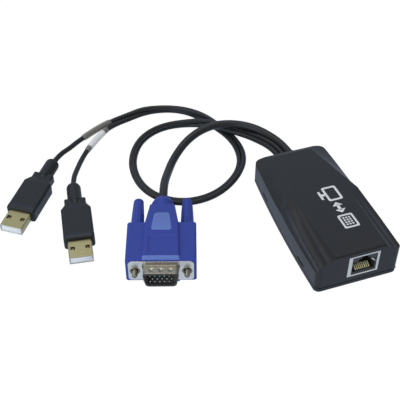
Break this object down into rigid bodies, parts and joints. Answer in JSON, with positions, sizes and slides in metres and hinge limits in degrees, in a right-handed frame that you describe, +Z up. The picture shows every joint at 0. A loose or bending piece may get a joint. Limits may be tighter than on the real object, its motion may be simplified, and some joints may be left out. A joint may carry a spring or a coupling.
{
  "type": "kvm dongle",
  "caption": "Wedge-shaped moulded interface unit with a network jack at the front and attached video and USB cables that end in plugs.",
  "frame": {"origin": "middle of the housing's underside", "axes": "+Z up, -Y out of the network jack, +Y towards the cables, along the housing's length"},
  "size_m": [0.1792, 0.1606, 0.0219],
  "materials": {
    "housing_plastic": "fine satin texture",
    "circuit_green": "solder mask",
    "chip_black": "matt epoxy",
    "tinned_metal": "tinned",
    "can_metal": "drawn can",
    "header_white": "nylon",
    "wire_plastic": "wire insulation",
    "insert_black": "moulded insert",
    "gold_contact": "gold plated",
    "grommet_rubber": "matt",
    "cable_jacket": "satin cable jacket",
    "plug_black": "satin overmould",
    "plug_blue": "satin overmould",
    "shell_nickel": "nickel plated",
    "flange_tin": "tin plated",
    "tongue_white": "moulded",
    "clear_sleeve": "translucent heat-shrink",
    "label_white": "paper film"
  },
  "bodies": {
    "unit": {"bottom_cover": "housing_plastic", "cable_grommet": "grommet_rubber", "capacitors": "can_metal", "circuit_board": "circuit_green", "clear_sleeve": "clear_sleeve", "controller_chip": "chip_black", "controller_leads": "tinned_metal", "crystal_can": "can_metal", "jack_contacts": "gold_contact", "jack_housing": "insert_black", "jack_shield": "tinned_metal", "label_sleeve": "label_white", "memory_chip": "chip_black", "top_cover": "housing_plastic", "usb_cable_left": "cable_jacket", "usb_cable_right": "cable_jacket", "usb_header": "header_white", "usb_left_body": "plug_black", "usb_left_contacts": "gold_contact", "usb_left_shell": "shell_nickel", "usb_left_tongue": "tongue_white", "usb_right_body": "plug_black", "usb_right_contacts": "gold_contact", "usb_right_shell": "shell_nickel", "usb_right_tongue": "tongue_white", "usb_wires": "wire_plastic", "vga_cable": "cable_jacket", "vga_flange": "flange_tin", "vga_hood": "plug_blue", "vga_insulator": "insert_black", "vga_pins": "gold_contact", "video_header": "header_white", "video_wires": "wire_plastic"},
    "thumbscrew_left": {"thumbscrew_left_grip": "plug_blue", "thumbscrew_left_shank": "flange_tin"},
    "thumbscrew_right": {"thumbscrew_right_grip": "plug_blue", "thumbscrew_right_shank": "flange_tin"}
  },
  "joints": [
    {"name": "left_thumbscrew_turn", "type": "hinge", "parent": "unit", "child": "thumbscrew_left", "pos_m": [-0.10098, -0.00822, 0.0085], "axis": [-0.3132, -0.9497, 0], "continuous": true},
    {"name": "right_thumbscrew_turn", "type": "hinge", "parent": "unit", "child": "thumbscrew_right", "pos_m": [-0.07724, -0.01605, 0.0085], "axis": [-0.3132, -0.9497, 0], "continuous": true}
  ]
}
